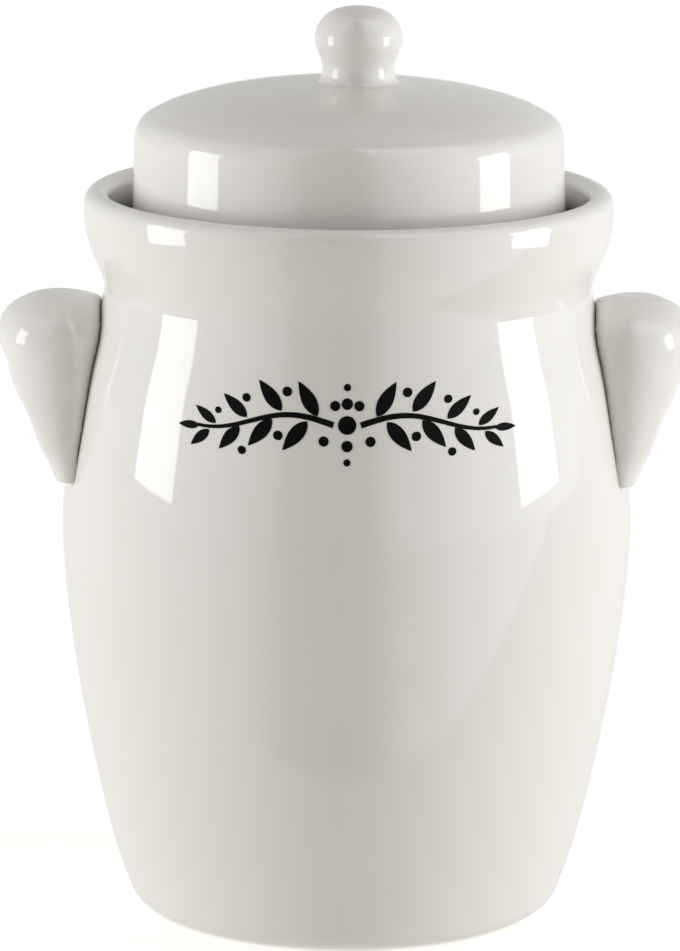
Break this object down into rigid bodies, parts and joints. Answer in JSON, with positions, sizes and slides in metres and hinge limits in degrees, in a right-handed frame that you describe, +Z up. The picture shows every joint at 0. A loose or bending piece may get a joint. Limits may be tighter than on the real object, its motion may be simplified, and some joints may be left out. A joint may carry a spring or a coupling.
{
  "type": "stoneware fruit crock with bell lid",
  "caption": "Round-bellied stoneware crock with two ear handles, a water gutter round its mouth, a bell lid with a ball knob, and a split weight stone inside.",
  "frame": {"origin": "centre of the foot, on the surface the crock stands on", "axes": "+Z up the crock's axis, +X towards the right handle, -Y towards the front"},
  "size_m": [0.2438, 0.2, 0.3197],
  "materials": {
    "white_glaze": "glossy white glaze",
    "bare_stoneware": "matt fired clay"
  },
  "bodies": {
    "crock": {"crock_body": "white_glaze", "gutter_collar": "white_glaze", "left_handle": "white_glaze", "right_handle": "white_glaze"},
    "lid": {"lid": "white_glaze", "lid_knob": "white_glaze"},
    "front_stone": {"weight_stone_front": "bare_stoneware"},
    "rear_stone": {"weight_stone_rear": "bare_stoneware"}
  },
  "joints": [
    {"name": "lid_lift", "type": "slide", "parent": "crock", "child": "lid", "axis": [0, 0, 1], "range_m": [0, 0.06]},
    {"name": "front_stone_rise", "type": "slide", "parent": "crock", "child": "front_stone", "axis": [0, 0, 1], "range_m": [0, 0.165]},
    {"name": "rear_stone_rise", "type": "slide", "parent": "crock", "child": "rear_stone", "axis": [0, 0, 1], "range_m": [0, 0.165]}
  ]
}
